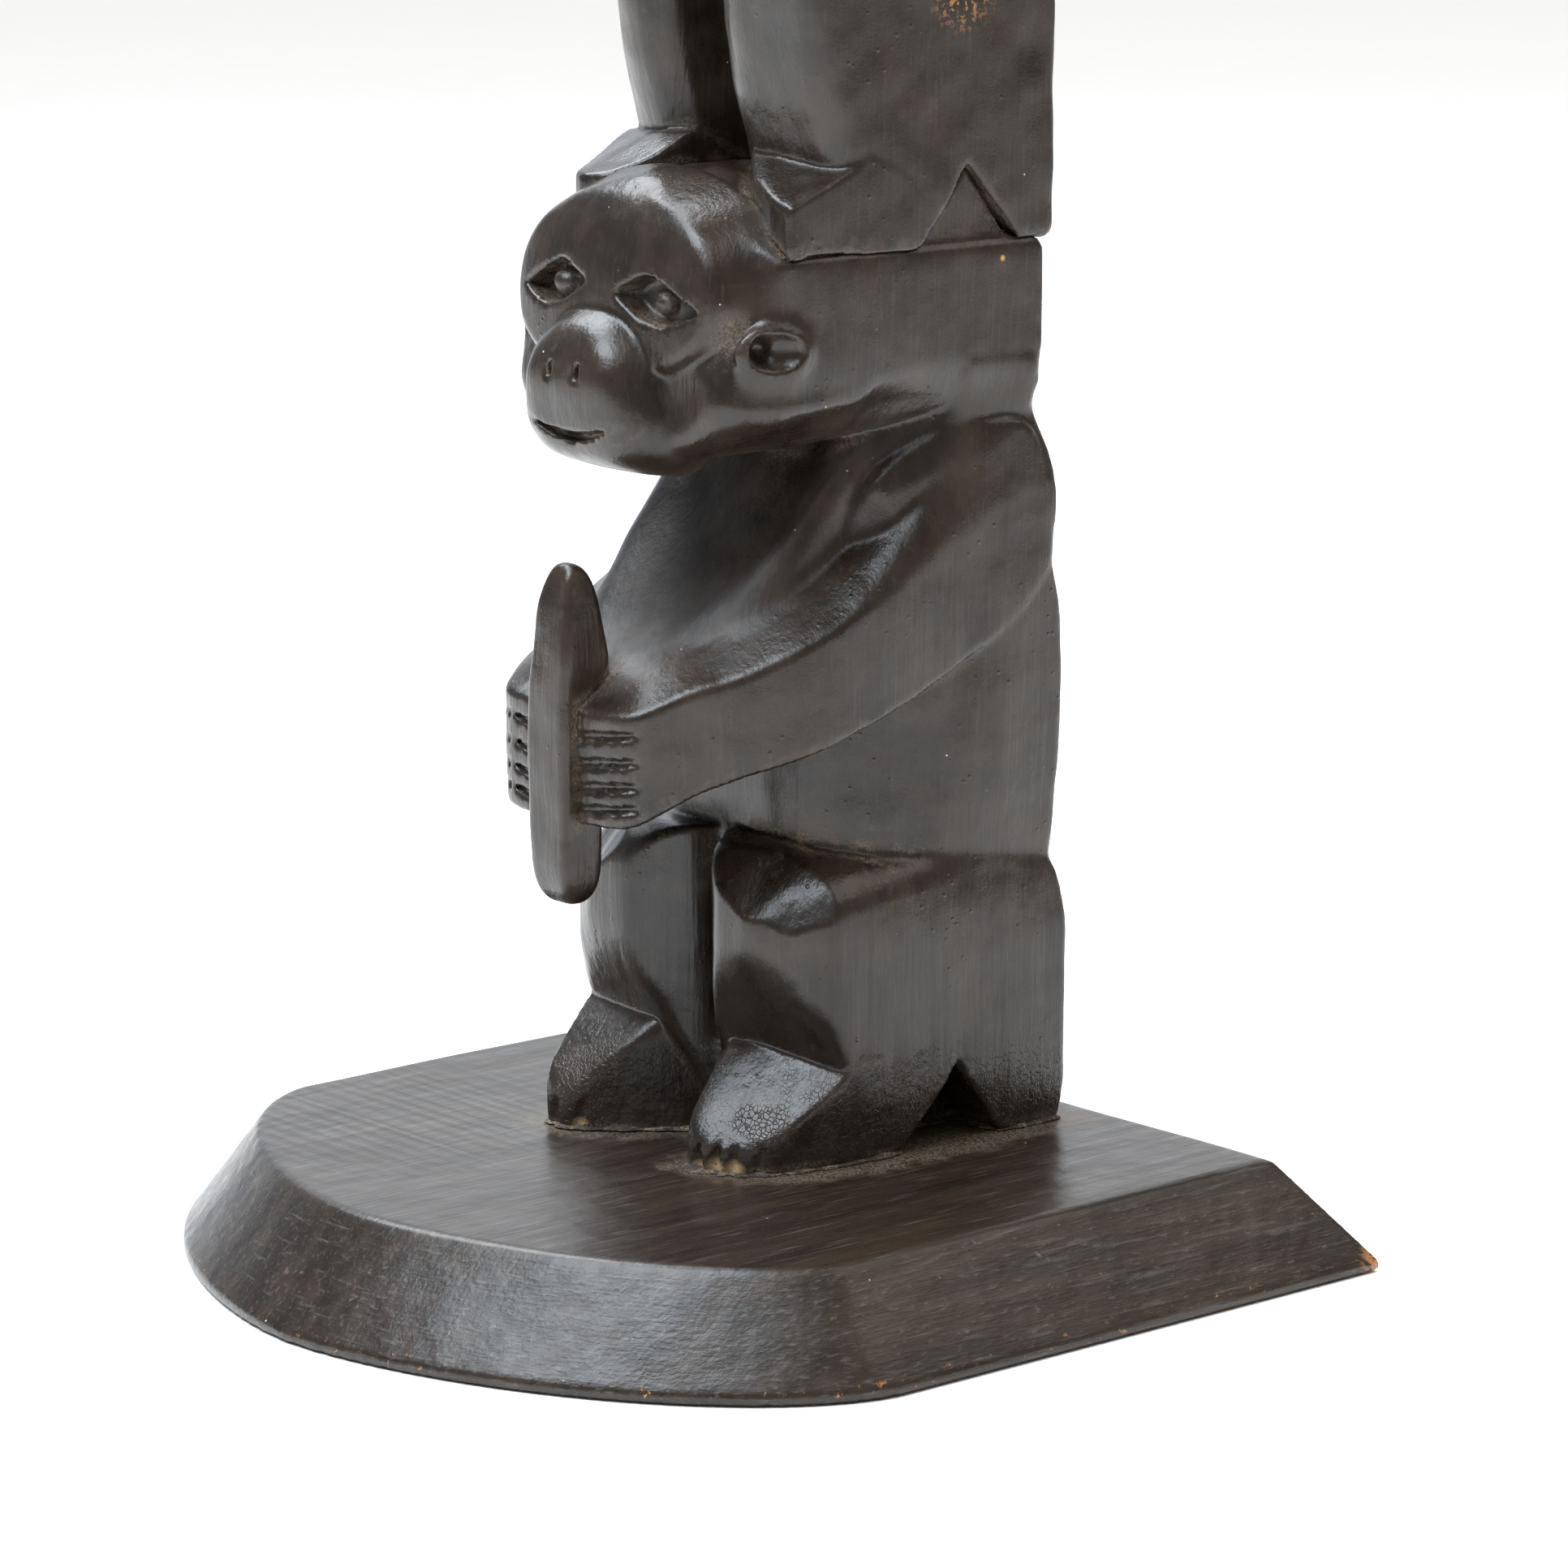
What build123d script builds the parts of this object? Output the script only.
from build123d import *
import math
import os

# A carved ancestor figure: two crouching figures, one standing on the other's head, on a bevelled
# board.  Millimetres.  +Z is up, the figures face -Y, and their left side is +X.  The origin is the
# centre of the board's underside.

# ---------------------------------------------------------------- driving dimensions
BOARD_THICK = 19.4
BOARD_LIP = 1.8            # upright edge left below the bevel
BOARD_HALF = 88.3          # half width and half depth of the underside
BOARD_BACK = 84.6
BEVEL = 13.3               # how far the top face is set in from the underside
FRONT_START = -25.8        # where the straight sides turn into the rounded front
FRONT_DEPTH = 58.8         # depth of the rounded front at the underside
TOP_FRONT_DEPTH = 43.7     # and at the top face
FRONT_POWER = 1.65         # 2 would be an ellipse; less is more pointed
FRONT_FACETS = 14

BLOCK_HALF = 32.5          # half width of the block that both figures are carved from
LOWER_FLOOR = BOARD_THICK  # height that each figure's feet stand at
FIGURE_STEP = 158.0        # from one figure's feet to the next one's
UPPER_FLOOR = LOWER_FLOOR + FIGURE_STEP
UPPER_SHIFT = -5.0         # the upper torso stands this much further forward

BLADE_HALF = 5.0

SCREW_SHANK = 2.1
SCREW_HEAD = 4.0
SCREW_LENGTH = 42.0
SCREW_RECESS = 1.0
SCREW_PLACES = [(0, 54), (-18, 12), (18, 12)]
DOWEL_RADIUS = 4.0
DOWEL_LENGTH = 40.0
DOWEL_PLACES = [(-14, 28), (14, 28)]
PEG_RADIUS = 1.0
PEG_HALF_LENGTH = 11.0
PEG_DEPTH = -22.4          # Y of the pegs through the hands
PEG_HEIGHTS = [90.4, 99.0]
POCKET_GAP = 0.05          # clearance all round a screw, dowel or peg

GLUE_THICK = 0.8


# ---------------------------------------------------------------- helpers
def prism(corners, sweep):
    """A closed prism: the outline through the corners, pushed along the sweep."""
    wire = Wire.make_polygon([Vector(*corner) for corner in corners], close=True)
    return Solid.extrude(Face(wire), Vector(*sweep))


def from_side(outline, half_width=BLOCK_HALF):
    """A prism across the figure, from its (Y, Z) outline."""
    return prism([(-half_width, y, z) for y, z in outline], (2 * half_width, 0, 0))


def from_side_between(outline, x_start, x_end):
    """The same, between two values of X."""
    return prism([(x_start, y, z) for y, z in outline], (x_end - x_start, 0, 0))


def from_above(outline, z_low, z_high):
    """An upright prism, from its (X, Y) outline."""
    return prism([(x, y, z_low) for x, y in outline], (0, 0, z_high - z_low))


def from_front(outline, y_front, y_back):
    """A prism from front to back, from its (X, Z) outline."""
    return prism([(x, y_front, z) for x, z in outline], (0, y_back - y_front, 0))


def both_halves(half_outline):
    """A mirrored outline from its +X half, listed from the front middle to the back middle."""
    mirrored = [(-x, other) for x, other in reversed(half_outline) if x > 0]
    return half_outline + mirrored


def mirrored_pair(solid):
    """A cut or a lump and its mirror image across the middle plane."""
    return [solid, solid.mirror(Plane.YZ)]


def joined(first, *others):
    for other in others:
        first = first + other
    return first


def carved(block, *cuts):
    for cut in cuts:
        block = block - cut
    return block


def raised(outline, height):
    """A (Y, Z) outline lifted from the figure's own floor to its real height."""
    return [(y, z + height) for y, z in outline]


# ---------------------------------------------------------------- board
def board_outline(half, back, front_depth, height):
    points = [(half, back, height)]
    for step in range(FRONT_FACETS + 1):
        turn = math.pi * step / FRONT_FACETS
        across = math.copysign(abs(math.cos(turn)) ** (2 / FRONT_POWER), math.cos(turn))
        forward = abs(math.sin(turn)) ** (2 / FRONT_POWER)
        points.append((half * across, FRONT_START - front_depth * forward, height))
    points.append((-half, back, height))
    return Wire.make_polygon([Vector(*point) for point in points], close=True)


def make_board():
    under = board_outline(BOARD_HALF, BOARD_BACK, FRONT_DEPTH, 0)
    lip_top = board_outline(BOARD_HALF, BOARD_BACK, FRONT_DEPTH, BOARD_LIP)
    top = board_outline(BOARD_HALF - BEVEL, BOARD_BACK - BEVEL, TOP_FRONT_DEPTH, BOARD_THICK)
    lip = Solid.extrude(Face(under), Vector(0, 0, BOARD_LIP))
    bevel = Solid.make_loft([lip_top, top], ruled=True)
    return lip + bevel


# ---------------------------------------------------------------- what both figures share
# Outlines are (Y, height) seen from the side, (X, Y) seen from above and (X, height) seen from the
# front, with heights counted from the figure's own floor.
BODY_SIDE = [(16, 48), (59, 45), (59, 118), (54, 127), (30, 125), (20, 117), (12, 90)]
BODY_PLAN = [(0, 12), (12, 13), (24, 22), (29, 36), (29, 60)]
NECK_SIDE = [(20, 110), (54.6, 110), (54.6, 135), (10, 135), (14, 122)]
NECK_HALF = 26


def make_legs(floor, leg_side, leg_plan, foot_side, foot_plan):
    legs = from_side(raised(leg_side, floor)) & from_above(both_halves(leg_plan), floor, floor + 60)
    foot = from_side(raised(foot_side, floor)) & from_above(foot_plan, floor - 2, floor + 30)
    return joined(legs, *mirrored_pair(foot))


def make_body(floor):
    outline = from_side(raised(BODY_SIDE, floor))
    return outline & from_above(both_halves(BODY_PLAN), floor + 40, floor + 130)


def hollow_pair(outline, y_front, y_back):
    """Two hollows cut into the front of a face, from one (X, height) outline."""
    return mirrored_pair(from_front(outline, y_front, y_back))


# ---------------------------------------------------------------- lower figure
LEG_SIDE = [(8, 0), (62, 0), (62, 41), (59, 48), (30, 50.5), (12, 53.5), (3, 54.6),
            (-1.5, 47), (-1.5, 26), (3, 20), (8, 12)]
LEG_PLAN = [(0, 9), (3, 4), (12, -1.5), (22, 0.5), (32.5, 7), (32.5, 62)]
FOOT_SIDE = [(-10, 0), (24, 0), (24, 15), (8, 17), (3, 20), (-4, 12), (-10, 5)]
FOOT_PLAN = [(5, 8), (11, -6), (14, -9.5), (22.5, -8.5), (28, -3), (32.5, 7), (32.5, 20), (5, 20)]
NOTCH_SIDE = [(23.5, -1), (48.8, -1), (36.4, 14.2)]
NOTCH_DEPTH = 14
KNEE_GAP = [(0, 14), (2.5, -12), (-2.5, -12)]
TOE_GROOVES = [16, 20.4]

ARM_SIDE = [(58, 100), (59, 112), (57, 124), (48, 130), (39.5, 127), (28.5, 116), (14, 105), (0, 96),
            (-14.5, 90), (-27, 84), (-27, 64), (-15, 68), (3, 73), (21, 78), (36, 84), (51, 92)]
ARM_PLAN = [(0, -25.6), (5, -25.6), (18, -23.5), (32.5, 2), (32.5, 60)]
HEAD_SIDE = [(54.6, 128), (54.6, FIGURE_STEP), (47, FIGURE_STEP), (44, 170.6), (-2, 170.6), (-9, 169),
             (-15, 161), (-16.8, 151), (-20, 148), (-23.5, 142), (-24.5, 134), (-23, 127), (-18, 121),
             (-10, 119.6), (2.7, 124), (26, 130)]
HEAD_PLAN = [(0, -24.5), (7, -23.5), (12, -18), (24, -13), (29, -6), (32.5, 2), (32.5, 60)]
HEAD_FRONT = [(0, 170.6), (12, 169), (24, 164), (32.5, FIGURE_STEP), (32.5, 131), (26, 122), (14, 119.6),
              (0, 119.6)]
SADDLE_SIDE = [(27, 157), (47, 157), (37.7, 170.6)]   # V ridge that locates the upper figure
SADDLE_HALF = BLOCK_HALF - 1
EYE = [(6.5, 149.2), (13, 153.2), (20.5, 149.4), (13, 146.6)]
PUPIL_RADIUS = 2.4
MOUTH = [(0, 128), (8, 129), (8, 127.6), (0, 126.6)]
NOSTRIL = [(1.8, 138.6), (3.2, 138.6), (3.2, 136.6), (1.8, 136.6)]
EAR_SIDE = [(-11, 143), (-7, 146.6), (0, 145), (1, 141), (-6, 139)]
EAR_DEPTH = 5
FINGER_GROOVES = [77.0, 73.0, 69.0, 65.5]
FINGER_GROOVE = [(5, -27), (17, -25.6), (17, -23.8), (5, -24.3)]
FINGER_GROOVE_HALF = 0.5
BLADE_SIDE = [(-22, 46.2), (-25.5, 46.2), (-28, 51), (-28.3, 72), (-27.6, 88), (-25.4, 102), (-23, 105.6),
              (-20.6, 103), (-18.5, 93), (-18.5, 86), (-20.5, 81), (-20.5, 52)]
BLADE_PLAN = [(0, -29), (3, -28), (5, -25.5), (5, -20), (3.5, -18), (0, -18)]


def make_blade():
    side = from_side(raised(BLADE_SIDE, LOWER_FLOOR), BLADE_HALF)
    return side & from_above(both_halves(BLADE_PLAN), LOWER_FLOOR + 40, LOWER_FLOOR + 110)


def make_lower_figure(blade):
    floor = LOWER_FLOOR
    legs = make_legs(floor, LEG_SIDE, LEG_PLAN, FOOT_SIDE, FOOT_PLAN)
    notch = prism([(BLOCK_HALF - NOTCH_DEPTH, y, z) for y, z in raised(NOTCH_SIDE, floor)],
                  (NOTCH_DEPTH + 1, 0, 0))
    legs = carved(legs, *mirrored_pair(notch))
    legs = legs - from_above(KNEE_GAP, floor + 22, floor + 56)
    for middle in TOE_GROOVES:
        groove = [(middle - 0.8, floor - 1), (middle + 0.8, floor - 1), (middle, floor + 4)]
        legs = carved(legs, *hollow_pair(groove, -12, -7))

    arms = from_side(raised(ARM_SIDE, floor)) & from_above(both_halves(ARM_PLAN), floor + 60, floor + 132)
    neck = from_side(raised(NECK_SIDE, floor), NECK_HALF)
    arch = from_front([(x, z + floor) for x, z in both_halves(HEAD_FRONT)], -30, 60)
    head = from_side(raised(HEAD_SIDE, floor)) & arch
    head = head & from_above(both_halves(HEAD_PLAN), floor + 115, floor + 172)
    saddle = from_side(raised(SADDLE_SIDE, floor), SADDLE_HALF)
    figure = joined(legs, make_body(floor), arms, neck, head, saddle)

    for height in FINGER_GROOVES:
        groove = from_above(FINGER_GROOVE, floor + height - FINGER_GROOVE_HALF,
                            floor + height + FINGER_GROOVE_HALF)
        figure = carved(figure, *mirrored_pair(groove))
    eye = from_front([(x, z + floor) for x, z in EYE], -20, -12)
    pupil = Solid.make_cylinder(PUPIL_RADIUS, 10, Plane((13, -14.5, 150 + floor), z_dir=(0, 1, 0)))
    figure = carved(figure, *mirrored_pair(eye - pupil))
    nostril = [(x, z + floor) for x, z in NOSTRIL]
    figure = carved(figure, *hollow_pair(nostril, -26, -22.5))
    ear = prism([(BLOCK_HALF - EAR_DEPTH, y, z) for y, z in raised(EAR_SIDE, floor)],
                (EAR_DEPTH + 1, 0, 0))
    figure = carved(figure, *mirrored_pair(ear))
    mouth = from_front([(x, z + floor) for x, z in both_halves(MOUTH)], -27, -20)
    return carved(figure, mouth, blade)


# ---------------------------------------------------------------- upper figure
UPPER_LEG_SIDE = [(10, 0), (57, 0), (57, 41), (54, 48), (28, 50.5), (10, 53.5), (4, 54), (0, 47),
                  (1, 42), (10, 15)]
UPPER_LEG_PLAN = [(0, 24), (9, 22), (10, 3), (18, -1), (28, 0), (32.5, 2), (32.5, 60)]
UPPER_FOOT_SIDE = [(-4, -1), (-4, 8), (9, 16.5), (14, 15), (24, 10), (24, -1)]
UPPER_FOOT_PLAN = [(8, 12), (14, 0), (20, -4), (27, -4), (32.5, -2), (32.5, 20), (8, 20)]
UPPER_ARM_SIDE = [(53, 100), (54, 114), (51, 124), (43, 129), (34, 126), (30, 116), (29, 84), (25, 72),
                  (2, 62), (-6, 58), (-9, 51), (-8, 44), (-3, 43), (1, 50), (10, 53.5), (30, 54),
                  (42, 55), (52, 64), (54, 80)]
UPPER_SHOULDER_SIDE = [(51, 100), (51, 124), (43, 128), (32, 125), (28, 100)]
ARM_INNER = 21
FACE_SIDE = [(1, 119), (-0.5, 123), (0.5, 127), (-2, 131), (-1, 135), (-6, 137.5), (-2.5, 148),
             (-2.5, 152), (-0.5, 160), (6, 167), (18, 171), (32, 169), (42, 160), (46, 148),
             (44, 134), (38, 118), (10, 117)]
FACE_FRONT = [(0, 171), (12, 168), (19, 158), (20, 146), (18, 132), (11, 121), (5, 117), (0, 117)]
FACE_PLAN = [(0, -7), (3, -3.5), (9, -1.5), (15, 4), (19.5, 15), (20, 28), (15, 40), (6, 46), (0, 46.5)]
CALM_EYE = [(4.5, 146), (8.5, 147.6), (12.5, 146.2), (8.5, 144.8)]
CALM_MOUTH = [(0, 131.4), (5.5, 131.8), (5.5, 130.9), (0, 130.5)]
CALM_NECK_SIDE = [(14, 112), (44, 112), (42, 128), (14, 128)]
CALM_NECK_HALF = 14


def make_upper_figure(lower_figure):
    floor = UPPER_FLOOR
    legs = make_legs(floor, UPPER_LEG_SIDE, UPPER_LEG_PLAN, UPPER_FOOT_SIDE, UPPER_FOOT_PLAN)
    body = make_body(floor).moved(Location((0, UPPER_SHIFT, 0)))
    arm = prism([(ARM_INNER, y, z) for y, z in raised(UPPER_ARM_SIDE, floor)],
                (BLOCK_HALF - ARM_INNER, 0, 0))
    shoulders = from_side(raised(UPPER_SHOULDER_SIDE, floor), ARM_INNER + 1)
    neck = from_side(raised(CALM_NECK_SIDE, floor), CALM_NECK_HALF)
    head = from_side(raised(FACE_SIDE, floor))
    head = head & from_above(both_halves(FACE_PLAN), floor + 110, floor + 175)
    head = head & from_front([(x, z + floor) for x, z in both_halves(FACE_FRONT)], -10, 50)
    figure = joined(legs, body, shoulders, neck, head, *mirrored_pair(arm))
    figure = carved(figure, *hollow_pair([(x, z + floor) for x, z in CALM_EYE], -8, 0.5))
    mouth = from_front([(x, z + floor) for x, z in both_halves(CALM_MOUTH)], -8, -1)
    saddle_groove = from_side(raised(SADDLE_SIDE, LOWER_FLOOR), BLOCK_HALF + 1)
    return carved(figure, mouth, saddle_groove, lower_figure)


# ---------------------------------------------------------------- fastenings
def make_screw(x, y, gap=0.0):
    """A countersunk wood screw, head down, or with a gap the pocket that it turns in."""
    head_top = SCREW_RECESS + SCREW_HEAD - SCREW_SHANK
    tip = SCREW_RECESS + SCREW_LENGTH
    cone_start = tip - 3 * SCREW_SHANK
    shank = SCREW_SHANK + gap
    head = Solid.make_cone(SCREW_HEAD + gap, shank, head_top - SCREW_RECESS, Plane((x, y, SCREW_RECESS)))
    body = Solid.make_cylinder(shank, cone_start - head_top, Plane((x, y, head_top)))
    point = Solid.make_cone(shank, 0.4 + gap, tip + gap - cone_start, Plane((x, y, cone_start)))
    return joined(head, body, point)


def screw_pocket(x, y):
    mouth = Solid.make_cylinder(SCREW_HEAD + POCKET_GAP, SCREW_RECESS + 1, Plane((x, y, -1)))
    return mouth + make_screw(x, y, POCKET_GAP)


def drive_slot(x, y):
    arm = 4.4
    width = 1.0
    depth = 1.4
    across = Solid.make_box(arm, width, depth, Plane((x - arm / 2, y - width / 2, SCREW_RECESS - 0.1)))
    along = Solid.make_box(width, arm, depth, Plane((x - width / 2, y - arm / 2, SCREW_RECESS - 0.1)))
    return across + along


def make_dowel(x, y, gap=0.0):
    middle = UPPER_FLOOR + 8
    low = middle - DOWEL_LENGTH / 2 - gap
    return Solid.make_cylinder(DOWEL_RADIUS + gap, DOWEL_LENGTH + 2 * gap, Plane((x, y, low)))


def make_peg(height, gap=0.0):
    start = Plane((-PEG_HALF_LENGTH - gap, PEG_DEPTH, height), z_dir=(1, 0, 0))
    return Solid.make_cylinder(PEG_RADIUS + gap, 2 * (PEG_HALF_LENGTH + gap), start)


# ---------------------------------------------------------------- glue line
GLUE_PLAN = [(0, 5.5), (4.5, 5), (9.5, -7.5), (13.4, -11.2), (23.2, -10.2), (29.4, -4), (34.1, 6),
             (34.1, 63.6)]


def make_glue(lower_figure):
    bead = from_above(both_halves(GLUE_PLAN), LOWER_FLOOR, LOWER_FLOOR + GLUE_THICK)
    return bead - lower_figure


# ---------------------------------------------------------------- assembly
blade = make_blade()
lower = make_lower_figure(blade)
glue = make_glue(lower)
upper = make_upper_figure(lower)
board = make_board()

screws = [make_screw(x, y) - drive_slot(x, y) for x, y in SCREW_PLACES]
board = carved(board, *[screw_pocket(x, y) for x, y in SCREW_PLACES])
lower = carved(lower, *[make_screw(x, y, POCKET_GAP) for x, y in SCREW_PLACES])

dowels = [make_dowel(x, y) for x, y in DOWEL_PLACES]
dowel_pockets = [make_dowel(x, y, POCKET_GAP) for x, y in DOWEL_PLACES]
lower = carved(lower, *dowel_pockets)
upper = carved(upper, *dowel_pockets)

pegs = [make_peg(height) for height in PEG_HEIGHTS]
peg_pockets = [make_peg(height, POCKET_GAP) for height in PEG_HEIGHTS]
lower = carved(lower, *peg_pockets)
blade = carved(blade, *peg_pockets)

NODES = {
    "base_board": board,
    "lower_figure": lower,
    "upper_figure": upper,
    "blade": blade,
    "glue_bead": glue,
    "base_screws": Compound(screws),
    "figure_dowels": Compound(dowels),
    "blade_pegs": Compound(pegs),
}

os.makedirs("parts", exist_ok=True)
for name, shape in NODES.items():
    export_step(shape, f"parts/{name}.step")
